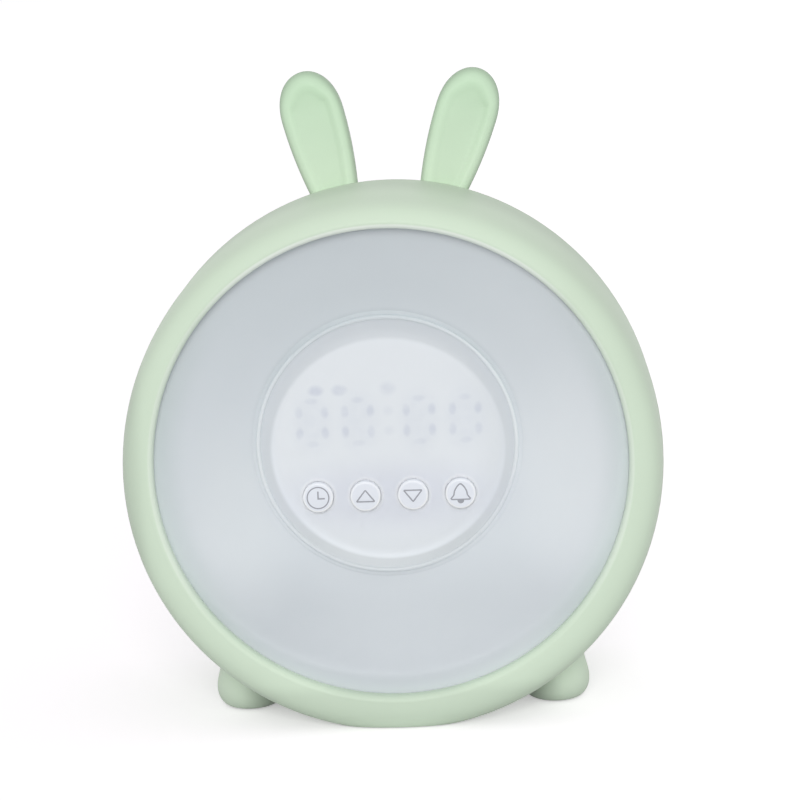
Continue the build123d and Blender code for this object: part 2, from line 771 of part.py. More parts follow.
with BuildPart() as ribbon_cable:
    ribbon = plate(face_plane(display_socket_end, cable_z), 10.0, 0.8)
    extrude(ribbon, amount=display_socket_end - main_socket_depth)
ribbon_cable.part.label = "ribbon_cable"
export_step(ribbon_cable.part, "parts/ribbon_cable.step")

# ---------------------------------------------------------------- power socket
socket_x, socket_z = socket_centre
socket_front = main_board_depth + board_thickness
socket_outline = [(-3.4, 1.2), (3.4, 1.2), (3.4, 0.0), (2.6, -1.2), (-2.6, -1.2), (-3.4, 0.0)]


def socket_sketch(plane, growth):
    with BuildSketch(plane) as outline:
        with BuildLine():
            Polyline(*socket_outline, close=True)
        make_face()
        offset(amount=growth)
    return outline.sketch


with BuildPart() as power_socket:
    mouth = face_plane(socket_front, socket_z, socket_x)
    extrude(socket_sketch(mouth, 0.35), amount=socket_front - back_depth + 1.0)
    extrude(socket_sketch(mouth, 0.0), amount=socket_front - back_depth + 1.0, mode=Mode.SUBTRACT)
power_socket.part.label = "power_socket"
export_step(power_socket.part, "parts/power_socket.step")

with BuildPart() as socket_tongue:
    extrude(socket_sketch(mouth, -0.03), amount=-1.6)
    extrude(plate(face_plane(socket_front, socket_z + 0.2, socket_x), 4.4, 0.8), amount=-7.0)
socket_tongue.part.label = "socket_tongue"
export_step(socket_tongue.part, "parts/socket_tongue.step")

# ---------------------------------------------------------------- speaker
basket_points = [
    (rear_wall_depth, speaker_radius),
    (79.2, speaker_radius),
    (79.2, 18.9),
    (71.0, 12.6),
    (71.0, 0),
    (72.2, 0),
    (72.2, 12.0),
    (79.9, 17.9),
    (rear_wall_depth, 17.9),
]
with BuildPart() as speaker_basket:
    revolve(section(side_plane(speaker_z), basket_points), axis=depth_axis(speaker_z))
    terminal = plate(face_plane(79.2, terminal_z), 7.0, 1.2)
    extrude(terminal, amount=2.0)
speaker_basket.part.label = "speaker_basket"
export_step(speaker_basket.part, "parts/speaker_basket.step")

cone_points = [(79.9, 17.4), (75.0, 6.0), (75.8, 0), (75.2, 0), (74.4, 6.2), (79.4, 17.4)]
with BuildPart() as speaker_cone:
    revolve(section(side_plane(speaker_z), cone_points), axis=depth_axis(speaker_z))
speaker_cone.part.label = "speaker_cone"
export_step(speaker_cone.part, "parts/speaker_cone.step")

with BuildPart() as speaker_magnet:
    extrude(disc(face_plane(63.5, speaker_z), 10.5), amount=-7.5)
    chamfer(speaker_magnet.edges().sort_by(Axis.Y)[0], 0.6)
speaker_magnet.part.label = "speaker_magnet"
export_step(speaker_magnet.part, "parts/speaker_magnet.step")

speaker_screw_planes = around(
    face_plane(79.2, speaker_z), speaker_screw_circle, speaker_screw_angles
)
speaker_screw_list = [screw(spot, 3.0, 1.3, 0.95, 1.5) for spot in speaker_screw_planes]
with BuildPart() as speaker_screws:
    add(speaker_screw_list)
speaker_screws.part.label = "speaker_screws"
export_step(speaker_screws.part, "parts/speaker_screws.step")

with BuildPart() as grille_cloth:
    extrude(disc(face_plane(rear_wall_depth - 0.4, speaker_z), 17.7), amount=-0.4)
grille_cloth.part.label = "grille_cloth"
export_step(grille_cloth.part, "parts/grille_cloth.step")

# Speaker leads: forward from the terminal, then down to the plug on the main board
lead_x = 1.6
lead_depth = 69.8
plug_top_z = 83.0
with BuildPart() as speaker_leads:
    for x in (-lead_x, lead_x):
        with BuildLine() as route:
            FilletPolyline(
                (x, seam_y + 77.2, terminal_z),
                (x, seam_y + lead_depth, terminal_z),
                (x, seam_y + lead_depth, plug_top_z),
                radius=3.0,
            )
        with BuildSketch(Plane(origin=route.line @ 0, z_dir=route.line % 0)):
            Circle(0.6)
        sweep(path=route.line)
speaker_leads.part.label = "speaker_leads"
export_step(speaker_leads.part, "parts/speaker_leads.step")

with BuildPart() as speaker_plug:
    extrude(plate(face_plane(main_board_depth, plug_top_z - 1.4), 7.0, 2.8), amount=3.6)
speaker_plug.part.label = "speaker_plug"
export_step(speaker_plug.part, "parts/speaker_plug.step")

# ---------------------------------------------------------------- battery
with BuildPart() as battery_cap:
    extrude(disc(battery_back, cap_radius), amount=-cap_thickness)
    chamfer(battery_cap.edges().sort_by(Axis.Y)[-1], 0.3)
    for spot in around(face_plane(cap_front_depth, battery_z, battery_x), cap_radius - 1, [0, 180]):
        with BuildSketch(spot):
            Rectangle(lug_outer - cap_radius + 1, 5.0, align=(Align.MIN, Align.CENTER))
        extrude(amount=-lug_depth)
    extrude(plate(battery_back, 15.0, 2.2, 1.05), amount=-1.1, mode=Mode.SUBTRACT)
battery_cap.part.label = "battery_cap"
export_step(battery_cap.part, "parts/battery_cap.step")

cell_front_depth = 77.1
with BuildPart() as coin_cell:
    extrude(disc(face_plane(cell_front_depth, battery_z, battery_x), cell_radius - 1.2), amount=-0.6)
    extrude(
        disc(face_plane(cell_front_depth + 0.6, battery_z, battery_x), cell_radius),
        amount=0.6 - cell_thickness,
    )
coin_cell.part.label = "coin_cell"
export_step(coin_cell.part, "parts/coin_cell.step")

with BuildPart() as cell_contacts:
    extrude(plate(face_plane(76.45, battery_z, battery_x), 13.0, 4.0), amount=-0.6)
    extrude(plate(face_plane(77.4, battery_z, battery_x + cell_radius + 0.25), 0.4, 3.0), amount=-3.0)
cell_contacts.part.label = "cell_contacts"
export_step(cell_contacts.part, "parts/cell_contacts.step")

# ---------------------------------------------------------------- casing screws
case_screw_planes = around(
    back_plane(main_board_depth, casing_z), case_screw_circle, case_screw_angles
)
case_screw_list = [screw(spot, 2.8, 2.0, 1.25, 16.0) for spot in case_screw_planes]
with BuildPart() as case_screws:
    add(case_screw_list)
case_screws.part.label = "case_screws"
export_step(case_screws.part, "parts/case_screws.step")
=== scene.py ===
import math

import bmesh
import bpy
from mathutils import Matrix, Vector
from mathutils.bvhtree import BVHTree


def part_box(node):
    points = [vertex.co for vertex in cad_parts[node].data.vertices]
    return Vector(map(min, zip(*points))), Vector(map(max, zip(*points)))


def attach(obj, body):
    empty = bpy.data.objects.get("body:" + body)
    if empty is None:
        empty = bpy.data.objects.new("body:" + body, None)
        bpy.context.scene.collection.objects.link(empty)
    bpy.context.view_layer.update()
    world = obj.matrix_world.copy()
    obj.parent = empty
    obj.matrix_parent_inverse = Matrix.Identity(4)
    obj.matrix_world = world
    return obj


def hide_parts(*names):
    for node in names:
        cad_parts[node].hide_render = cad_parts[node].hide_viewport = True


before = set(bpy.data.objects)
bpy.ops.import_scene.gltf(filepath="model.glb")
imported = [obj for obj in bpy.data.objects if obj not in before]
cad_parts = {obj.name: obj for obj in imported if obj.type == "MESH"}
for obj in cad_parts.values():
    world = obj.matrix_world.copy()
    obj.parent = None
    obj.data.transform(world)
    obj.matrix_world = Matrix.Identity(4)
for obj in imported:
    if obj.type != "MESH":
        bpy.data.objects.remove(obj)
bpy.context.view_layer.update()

MM = 0.001
BUTTONS = ("clock", "up", "down", "alarm")


# ---------------------------------------------------------------- places read from the frame
def middle(node):
    """Centre of a node's box at rest."""
    low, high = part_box(node)
    return (low + high) / 2


opening = middle("diffuser")
display = middle("display_hood")
button_middles = {name: middle(f"button_{name}") for name in BUTTONS}
button_pitch = button_middles["up"].x - button_middles["clock"].x
button_z = button_middles["clock"].z
casing_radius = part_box("front_shell")[1].x
casing_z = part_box("front_shell")[1].z - casing_radius


# ---------------------------------------------------------------- camera
CAMERA_AIM = Vector((3.6, -39.7, 103.2)) * MM
CAMERA_DISTANCE = 699.7 * MM
CAMERA_AZIMUTH = math.radians(-2.2)
CAMERA_ELEVATION = math.radians(10.49)
CAMERA_ROLL = math.radians(2.215)
CAMERA_LENS = 104.24


def make_camera():
    """Camera in front of the clock, a little above it and to its right, slightly rolled."""
    forward = Vector((
        math.sin(CAMERA_AZIMUTH) * math.cos(CAMERA_ELEVATION),
        math.cos(CAMERA_AZIMUTH) * math.cos(CAMERA_ELEVATION),
        -math.sin(CAMERA_ELEVATION),
    ))
    level_right = Vector((math.cos(CAMERA_AZIMUTH), -math.sin(CAMERA_AZIMUTH), 0))
    level_up = level_right.cross(forward)
    right = level_right * math.cos(CAMERA_ROLL) - level_up * math.sin(CAMERA_ROLL)
    up = level_right * math.sin(CAMERA_ROLL) + level_up * math.cos(CAMERA_ROLL)
    data = bpy.data.cameras.new("camera")
    data.lens = CAMERA_LENS
    camera = bpy.data.objects.new("camera", data)
    bpy.context.collection.objects.link(camera)
    turn = Matrix((right, up, -forward)).transposed().to_4x4()
    camera.matrix_world = Matrix.Translation(CAMERA_AIM - forward * CAMERA_DISTANCE) @ turn
    bpy.context.scene.camera = camera


# ---------------------------------------------------------------- node graphs
NOISE_LOW, NOISE_HIGH = 0.3, 0.7        # nearly all of a noise's values lie between these


def srgb(*levels):
    """Linear colour of three 8-bit display levels."""
    linear = [
        level / 255 / 12.92 if level <= 10 else ((level / 255 + 0.055) / 1.055) ** 2.4
        for level in levels
    ]
    return (*linear, 1.0)


class Graph:
    """The nodes of a material or a world, with short calls that add and wire them."""

    def __init__(self, owner):
        owner.use_nodes = True
        self.tree = owner.node_tree

    def add(self, kind):
        return self.tree.nodes.new("ShaderNode" + kind)

    def wire(self, value, socket):
        """Links the value to the socket, or sets it there when it is a constant."""
        if isinstance(value, bpy.types.NodeSocket):
            self.tree.links.new(value, socket)
        else:
            socket.default_value = value

    def math(self, operation, *values):
        node = self.add("Math")
        node.operation = operation
        for value, socket in zip(values, node.inputs):
            self.wire(value, socket)
        return node.outputs[0]

    def plus(self, value, amount):
        return self.math("ADD", value, amount)

    def minus(self, value, amount):
        return self.math("SUBTRACT", value, amount)

    def times(self, *values):
        total = values[0]
        for value in values[1:]:
            total = self.math("MULTIPLY", total, value)
        return total

    def larger(self, first, second):
        return self.math("MAXIMUM", first, second)

    def size(self, value):
        return self.math("ABSOLUTE", value)

    def length(self, first, second):
        squares = self.plus(self.times(first, first), self.times(second, second))
        return self.math("SQRT", squares)

    def fold(self, value, pitch):
        """Distance from the nearest of four places in a row, a pitch apart about zero."""
        halves = self.size(self.minus(self.size(value), pitch))
        return self.size(self.minus(halves, pitch / 2))

    def span(self, value, low, high, to_low=0.0, to_high=1.0, smooth=False):
        """Maps the value from low..high to to_low..to_high, held at both ends."""
        node = self.add("MapRange")
        node.interpolation_type = "SMOOTHSTEP" if smooth else "LINEAR"
        for item, socket in zip((value, low, high, to_low, to_high), node.inputs):
            self.wire(item, socket)
        return node.outputs[0]

    def spread(self, noise, to_low, to_high):
        """Maps a noise to to_low..to_high."""
        return self.span(noise, NOISE_LOW, NOISE_HIGH, to_low, to_high)

    def ridge(self, value, middle, half_width):
        """One at the middle, falling to zero at the half width on either side."""
        return self.span(self.size(self.minus(value, middle)), half_width, 0, smooth=True)

    def blob(self, u, v, half_width, half_height, blur):
        """Soft rounded spot about u = v = 0."""
        reach_u = self.math("DIVIDE", u, half_width)
        reach_v = self.math("DIVIDE", v, half_height)
        return self.span(self.length(reach_u, reach_v), 1 + blur, 1 - blur, smooth=True)

    def mix(self, factor, first, second, blend="MIX"):
        node = self.add("Mix")
        node.data_type = "RGBA"
        node.blend_type = blend
        self.wire(factor, node.inputs[0])
        self.wire(first, node.inputs[6])
        self.wire(second, node.inputs[7])
        return node.outputs[2]

    def shaded(self, colour, level):
        """The colour with its lightness multiplied by a level."""
        return self.mix(1.0, colour, level, blend="MULTIPLY")

    def split(self):
        """Place on the object, as x, y and z."""
        node = self.add("SeparateXYZ")
        self.wire(self.add("TexCoord").outputs["Object"], node.inputs[0])
        return node.outputs


class Finish(Graph):
    """The material of a piece, with its shader."""

    def __init__(self, name):
        self.material = bpy.data.materials.new(name)
        super().__init__(self.material)
        self.shader = self.tree.nodes["Principled BSDF"]

    def noise(self, scale, detail=2.0, stretch=(1, 1, 1)):
        mapping = self.add("Mapping")
        mapping.inputs["Scale"].default_value = stretch
        self.wire(self.add("TexCoord").outputs["Object"], mapping.inputs["Vector"])
        node = self.add("TexNoise")
        node.inputs["Scale"].default_value = scale
        node.inputs["Detail"].default_value = detail
        self.wire(mapping.outputs[0], node.inputs["Vector"])
        return node.outputs[0]

    def tinted(self, colour, cloud_scale=22.0, amount=0.018):
        """The colour with a faint slow drift in lightness, as moulded plastic has."""
        drift = self.spread(self.noise(cloud_scale), 1 - amount, 1 + amount)
        return self.shaded(colour, drift)

    def set(self, **values):
        """Sets or wires the shader's inputs, named with _ for each space."""
        for name, value in values.items():
            self.wire(value, self.shader.inputs[name.replace("_", " ")])

    def bump(self, height, distance):
        node = self.add("Bump")
        node.inputs["Distance"].default_value = distance
        self.wire(height, node.inputs["Height"])
        self.set(Normal=node.outputs[0])


# ---------------------------------------------------------------- general finishes
def moulded_surface(graph, colour, roughness=0.5, grain=0.012):
    """Fine grain of moulded plastic, in the bump and the roughness."""
    fine = graph.noise(1400, 3.0)
    graph.set(
        Base_Color=colour,
        Roughness=graph.spread(fine, roughness - 0.05, roughness + 0.05),
        Specular_IOR_Level=0.4,
    )
    graph.bump(fine, grain * MM)


def moulded(name, colour, roughness=0.5, grain=0.012, cloud=0.018):
    """Moulded plastic of one colour with a faint drift in it."""
    graph = Finish(name)
    moulded_surface(graph, graph.tinted(colour, amount=cloud), roughness, grain)
    return graph.material


def metal(name, colour, roughness=0.3, stretch=(1, 1, 14)):
    """Drawn or plated metal with fine streaks."""
    graph = Finish(name)
    streaks = graph.noise(420, 4.0, stretch)
    graph.set(
        Base_Color=graph.tinted(colour, 160, 0.05),
        Metallic=1.0,
        Roughness=graph.spread(streaks, roughness - 0.07, roughness + 0.09),
    )
    graph.bump(streaks, 0.008 * MM)
    return graph.material


def rubber(name, colour):
    """Matt rubber with fine pores."""
    graph = Finish(name)
    pores = graph.noise(900, 4.0)
    graph.set(
        Base_Color=graph.tinted(colour, 90, 0.05),
        Roughness=graph.spread(pores, 0.72, 0.9),
    )
    graph.bump(pores, 0.03 * MM)
    return graph.material


def woven(name, colour, thread=0.5 * MM):
    """Acoustic cloth: two crossed waves for warp and weft."""
    graph = Finish(name)
    x, _, z = graph.split()
    across = graph.math("SINE", graph.times(x, 2 * math.pi / thread))
    along = graph.math("SINE", graph.times(z, 2 * math.pi / thread))
    weave = graph.times(across, along)
    graph.set(
        Base_Color=graph.shaded(colour, graph.span(weave, -1, 1, 0.6, 1.25)),
        Roughness=0.9,
    )
    graph.bump(weave, 0.06 * MM)
    return graph.material


def board(name, colour, copper):
    """Circuit board: solder resist with paler tracks showing through."""
    graph = Finish(name)
    tracks = graph.times(
        graph.span(graph.noise(260, 0.0), 0.49, 0.51),
        graph.span(graph.noise(90, 0.0), 0.45, 0.5),
    )
    graph.set(
        Base_Color=graph.mix(graph.times(tracks, 0.35), colour, copper),
        Roughness=graph.span(tracks, 0, 1, 0.42, 0.34),
    )
    graph.bump(tracks, 0.02 * MM)
    return graph.material


# ---------------------------------------------------------------- finishes painted by place
SHELL_GREEN = (211, 228, 207)
# painted highlight on the casing's edge round the bowl
SEAM_HIGHLIGHT_GREEN = (242, 251, 241)
SEAM_HIGHLIGHT_OUTER, SEAM_HIGHLIGHT_INNER = 74.0 * MM, 73.3 * MM       # radii of the painted highlight line round the bowl
FOOT_GREEN = (212, 228, 208)
# the ears' green, lighter low down as painted light towards the casing
EAR_GREEN_LOW, EAR_GREEN_HIGH = (211, 231, 206), (203, 230, 200)
# the caps' white, and the painted light on their rounded edge
CAP_WHITE, CAP_EDGE_PAINTED_LIGHT = (230, 234, 242), (253, 254, 255)


def seam_highlight_mask(graph, x, z, upper):
    """Painted highlight line round the bowl: full at the top, fainter at the sides, none at the
    bottom.
    """
    from_opening = graph.length(x, graph.minus(z, opening.z))
    edge = graph.span(from_opening, SEAM_HIGHLIGHT_OUTER, SEAM_HIGHLIGHT_INNER, smooth=True)
    sides = graph.times(
        graph.span(graph.size(x), 35 * MM, 60 * MM, 0.0, 0.4, smooth=True),
        graph.span(z, 25 * MM, 60 * MM, smooth=True),
    )
    return graph.times(edge, graph.larger(upper, sides))


def shell_finish():
    """Sage green casing with painted shade: darker at its left flank, on top behind the rim and low
    in front, and a painted highlight round the bowl.
    """
    graph = Finish("shell_plastic")
    x, y, z = graph.split()
    front = graph.span(y, -27 * MM, -38 * MM, smooth=True)
    upper = graph.span(z, 115 * MM, 150 * MM, smooth=True)
    # painted shade on the left flank, on top behind the rim and low in front
    flank = graph.span(x, -73.5 * MM, -79 * MM, 0.0, 0.11, smooth=True)
    crown = graph.times(graph.span(y, -28 * MM, 8 * MM, 0.0, 0.15, smooth=True), upper)
    low = graph.times(
        graph.span(z, 16 * MM, 11 * MM, 0.0, 0.095, smooth=True),
        graph.span(z, 1.5 * MM, 4.5 * MM, smooth=True),
        front,
    )
    painted_shading = graph.plus(graph.plus(flank, crown), low)
    colour = graph.shaded(graph.tinted(srgb(*SHELL_GREEN)), graph.minus(1.0, painted_shading))
    # painted highlight on the casing's edge round the bowl, at the front only
    painted_highlight = graph.times(front, seam_highlight_mask(graph, x, z, upper))
    moulded_surface(graph, graph.mix(painted_highlight, colour, srgb(*SEAM_HIGHLIGHT_GREEN)))
    return graph.material


def foot_finish():
    """Feet in the casing's plastic with painted shade, darker towards the table and under the casing,
    and painted light on their outer sides.
    """
    graph = Finish("foot_plastic")
    x, _, z = graph.split()
    outward = graph.size(x)
    # painted shade towards the table and under the casing, painted light on the outer sides
    painted_shading = graph.times(
        graph.span(z, 3 * MM, 13 * MM, 0.91, 1.02, smooth=True),
        graph.span(outward, 41.5 * MM, 51 * MM, 0.60, 1.0),
        graph.span(outward, 51 * MM, 58 * MM, 1.0, 1.06),
    )
    moulded_surface(graph, graph.shaded(graph.tinted(srgb(*FOOT_GREEN)), painted_shading))
    return graph.material


def cap_finish():
    """White button caps with painted light on their rounded edge, strongest low down, against the
    edge's shade.
    """
    graph = Finish("cap_plastic")
    x, _, z = graph.split()
    rise = graph.minus(z, button_z)
    from_middle = graph.length(graph.fold(graph.minus(x, display.x), button_pitch), rise)
    # painted light on the rounded edge, fainter towards the top
    edge = graph.times(
        graph.span(from_middle, 3.9 * MM, 4.45 * MM, smooth=True),
        graph.span(rise, 4.6 * MM, -2 * MM, 0.3, 1.0),
    )
    colour = graph.mix(edge, graph.tinted(srgb(*CAP_WHITE), amount=0.008), srgb(*CAP_EDGE_PAINTED_LIGHT))
    moulded_surface(graph, colour, 0.38, 0.005)
    return graph.material


def ear_finish():
    """Pale green ears with painted light and shade: lighter towards the casing, darker in the scoop,
    round the edge and at the tip.
    """
    graph = Finish("ear_plastic")
    _, _, z = graph.split()
    attribute = graph.add("Attribute")
    attribute.attribute_name = "inset"
    inset = attribute.outputs["Fac"]        # millimetres in from the ear's outline
    # painted light: lighter towards the casing
    rise = graph.span(z, 166 * MM, 196 * MM)
    colour = graph.mix(rise, srgb(*EAR_GREEN_LOW), srgb(*EAR_GREEN_HIGH))
    # painted shade round the edge, in the scoop and wider at the tip
    edge = graph.span(inset, 1.6, 0.0, 1.0, 0.80, smooth=True)
    scoop = graph.span(inset, 2.9, 4.9, 1.0, 0.955, smooth=True)
    tip = graph.times(
        graph.span(z, 186 * MM, 196 * MM, smooth=True),
        graph.span(inset, 3.0, 1.2, 0.0, 0.09, smooth=True),
    )
    colour = graph.shaded(colour, graph.minus(graph.times(edge, scoop), tip))
    moulded_surface(graph, graph.tinted(colour, 60, 0.012), 0.55)
    return graph.material


# ---------------------------------------------------------------- light bowl and display
DIGIT_RISE = 7.15 * MM              # digits' middle over the display's middle
DIGIT_PITCH = 14.2 * MM
DIGITS_SHIFT = 0.65 * MM            # the digits and the row's shade sit this far to the right
COLON_HALF_GAP = 9.45 * MM
DISC_RADIUS = 36.0 * MM
BEAD_RADIUS = 39.9 * MM
# painted light for the bead's shaded slopes
BEAD_PAINTED_LIGHT = (242, 246, 249)


def bowl_light_and_shade(graph, x, z):
    """The bowl's painted light and shade: painted reflections as brighter patches at its sides,
    painted light to the right and next to the rim at the bottom, painted shade at the top, low down
    and under the rim at the sides.
    """
    from_opening = graph.length(x, graph.minus(z, opening.z))
    # painted shade at the top and low down, painted light to the right
    upper = graph.span(z, 95 * MM, 140 * MM, smooth=True)
    lower = graph.span(z, 62 * MM, 35 * MM, smooth=True)
    rightwards = graph.span(x, -20 * MM, 50 * MM, smooth=True)
    # painted reflections: brighter patches at the sides
    right_reflection = graph.blob(
        graph.minus(x, 54 * MM), graph.minus(z, 80 * MM), 16 * MM, 26 * MM, 0.7
    )
    left_reflection = graph.blob(
        graph.minus(x, -49 * MM), graph.minus(z, 66 * MM), 14 * MM, 26 * MM, 0.7
    )
    # painted shadow under the rim at the sides, with a painted green tint of light thrown back from
    # the rim
    shadow_under_rim = graph.times(
        graph.span(from_opening, 62 * MM, 73 * MM, smooth=True),
        graph.span(z, 20 * MM, 50 * MM, smooth=True),
        graph.minus(1.0, upper),
    )
    # painted light next to the rim at the bottom
    light_over_rim = graph.times(
        graph.span(from_opening, 64 * MM, 73 * MM, smooth=True),
        graph.span(z, 40 * MM, 16 * MM, smooth=True),
    )
    return [
        (upper, 0.35, (209, 217, 220)),
        (lower, 0.9, (196, 202, 207)),
        (rightwards, 0.3, (226, 231, 235)),
        (right_reflection, 0.7, (230, 235, 239)),
        (left_reflection, 0.5, (226, 231, 234)),
        (shadow_under_rim, 0.45, (192, 206, 202)),
        (light_over_rim, 0.6, (222, 229, 232)),
    ]


def bead_light_and_shade(graph, disc_x, z):
    """Painted light and shade on the raised bead round the display and the band inside it: a painted
    highlight on the bead's crest at its sides, painted light on the band above and on the bead's
    slopes, painted shade on the band below and outside the bead at the top.
    """
    from_display = graph.length(disc_x, graph.minus(z, display.z))
    overhead = graph.span(z, display.z - 30 * MM, display.z + 30 * MM)
    below = graph.minus(1.0, overhead)
    # painted light on the band above, painted shade on it below and outside the bead at the top
    band = graph.span(from_display, BEAD_RADIUS + 1.1 * MM, BEAD_RADIUS - 1.4 * MM, smooth=True)
    outside = graph.ridge(from_display, BEAD_RADIUS + 0.7 * MM, 2.6 * MM)
    # painted light on the bead's inner slope, more at the top, and on its outer slope below
    inner_slope = graph.ridge(from_display, BEAD_RADIUS - 0.7 * MM, 0.8 * MM)
    outer_slope = graph.ridge(from_display, BEAD_RADIUS + 0.9 * MM, 1.2 * MM)
    # painted highlight on the bead's crest at its sides
    right_side = graph.times(
        graph.span(disc_x, 6 * MM, 26 * MM),
        graph.span(z, display.z - 14 * MM, display.z + 2 * MM),
    )
    left_side = graph.times(graph.span(disc_x, -24 * MM, -37 * MM), 0.7)
    crest_highlight = graph.times(
        graph.ridge(from_display, BEAD_RADIUS, 0.7 * MM), graph.larger(right_side, left_side)
    )
    return [
        (graph.times(band, below), 0.9, (206, 211, 214)),
        (graph.times(band, overhead), 0.9, (222, 227, 232)),
        (graph.times(outside, overhead, overhead), 0.8, (198, 206, 210)),
        (graph.times(inner_slope, graph.span(overhead, 0, 1, 0.1, 0.3)), 1.0, BEAD_PAINTED_LIGHT),
        (graph.times(outer_slope, below), 0.3, BEAD_PAINTED_LIGHT),
        (crest_highlight, 0.4, (240, 245, 247)),
    ]


def disc_layers(graph, disc_x, z):
    """The bright disc of the display, a little deeper at its lower right edge."""
    rise = graph.times(graph.minus(z, display.z - 1.6 * MM), 1.046)
    from_middle = graph.length(disc_x, rise)
    disc = graph.span(from_middle, DISC_RADIUS + 0.8 * MM, DISC_RADIUS - 0.8 * MM, smooth=True)
    edge = graph.times(
        disc,
        graph.span(from_middle, 25 * MM, 35 * MM, smooth=True),
        graph.span(graph.minus(disc_x, rise), -20 * MM, 30 * MM, smooth=True),
    )
    return [
        (disc, 1.0, (234, 239, 245)),
        (edge, 0.8, (226, 231, 236)),
    ]


def digit_shade(graph, x, z):
    """Faint smudges of the digits and indicators; x runs from the middle of the colon.

    All four digits fold onto one: u and v are distances from the nearest digit's middle.
    """
    blob, minus, size = graph.blob, graph.minus, graph.size
    digits_z = display.z + DIGIT_RISE
    from_pair = size(minus(size(x), COLON_HALF_GAP + DIGIT_PITCH / 2))
    u = size(minus(from_pair, DIGIT_PITCH / 2))
    v = size(minus(z, digits_z))
    from_flag = minus(size(graph.plus(x, 18.5 * MM)), 3.7 * MM)
    haze = blob(u, v, 5.8 * MM, 9.0 * MM, 0.5)
    upright_bars = blob(minus(u, 3.9 * MM), minus(v, 3.15 * MM), 1.2 * MM, 1.9 * MM, 0.65)
    end_bars = blob(u, minus(v, 6.7 * MM), 2.1 * MM, 1.1 * MM, 0.7)
    middle_bar = blob(u, v, 2.0 * MM, 1.0 * MM, 0.7)
    colon = blob(x, minus(v, 3.1 * MM), 1.5 * MM, 1.3 * MM, 0.8)
    two_flags = blob(from_flag, minus(z, digits_z + 9.9 * MM), 2.1 * MM, 1.5 * MM, 0.6)
    middle_flag = blob(x, minus(z, digits_z + 10.1 * MM), 2.0 * MM, 1.8 * MM, 0.7)
    marks = [
        (upright_bars, 0.85),
        (end_bars, 0.6),
        (middle_bar, 0.3),
        (colon, 0.3),
        (two_flags, 0.95),
        (middle_flag, 0.55),
    ]
    shade = graph.times(haze, 0.27)
    for mark, strength in marks:
        shade = graph.larger(shade, graph.times(mark, strength))
    return graph.times(shade, graph.span(graph.noise(330, 1.0), 0.35, 0.65, 0.62, 1.0))


def opal():
    """Opal bowl with a brighter disc at the display, the digits' smudges, painted shade along the
    buttons' row, painted light round each button and the bowl's and bead's painted light and shade.
    """
    graph = Finish("opal_plastic")
    x, _, z = graph.split()
    disc_x = graph.minus(x, display.x)
    digit_x = graph.minus(x, display.x + DIGITS_SHIFT)
    # painted shade along the buttons' row
    row = graph.blob(
        digit_x, graph.minus(z, button_z - 0.5 * MM), 30 * MM, 9.5 * MM, 0.65
    )
    from_button = graph.length(graph.fold(disc_x, button_pitch), graph.minus(z, button_z))
    layers = [
        *bowl_light_and_shade(graph, x, z),
        *bead_light_and_shade(graph, disc_x, z),
        *disc_layers(graph, disc_x, z),
        (row, 0.6, (214, 217, 228)),
        (digit_shade(graph, digit_x, z), 0.5, (190, 196, 214)),
        # painted light round each button, against the shade in its gap
        (graph.ridge(from_button, 5.0 * MM, 1.2 * MM), 0.5, (246, 248, 252)),
    ]
    colour = graph.tinted(srgb(216, 222, 227), 14, 0.012)
    for mask, strength, shade in layers:
        colour = graph.mix(graph.times(mask, strength), colour, srgb(*shade))

    fine = graph.noise(1100, 3.0)
    graph.set(
        Base_Color=colour,
        Roughness=graph.spread(fine, 0.36, 0.46),
        Specular_IOR_Level=0.35,
        Subsurface_Weight=0.6,
        Subsurface_Radius=(1.0, 1.0, 1.0),
        Subsurface_Scale=2.5 * MM,
    )
    graph.bump(fine, 0.006 * MM)
    return graph.material


# ---------------------------------------------------------------- finishes of the CAD nodes
shell_plastic = shell_finish()
foot_plastic = foot_finish()
ear_plastic = ear_finish()
cap_plastic = cap_finish()
opal_plastic = opal()
white_plastic = moulded("white_plastic", srgb(228, 230, 232), 0.42, cloud=0.01)
black_plastic = moulded("black_plastic", srgb(38, 38, 40), 0.45, cloud=0.06)
icon_ink = moulded("icon_ink", srgb(160, 162, 170), 0.5, grain=0.004, cloud=0.05)
guide_plastic = moulded("guide_plastic", srgb(176, 186, 202), 0.3, grain=0.004, cloud=0.03)
lens_plastic = moulded("lens_plastic", srgb(240, 228, 170), 0.2, grain=0.003, cloud=0.04)
lead_plastic = moulded("lead_plastic", srgb(150, 40, 36), 0.4, grain=0.01, cloud=0.06)
steel = metal("plated_steel", srgb(170, 172, 176))
bright_steel = metal("bright_steel", srgb(200, 202, 206), 0.22)
spring_brass = metal("spring_brass", srgb(204, 176, 112), 0.25)
pad_rubber = rubber("pad_rubber", srgb(150, 156, 150))
cone_rubber = rubber("cone_rubber", srgb(34, 34, 36))
speaker_cloth = woven("speaker_cloth", srgb(48, 50, 50))
resist = board("solder_resist", srgb(40, 96, 62), srgb(150, 170, 110))

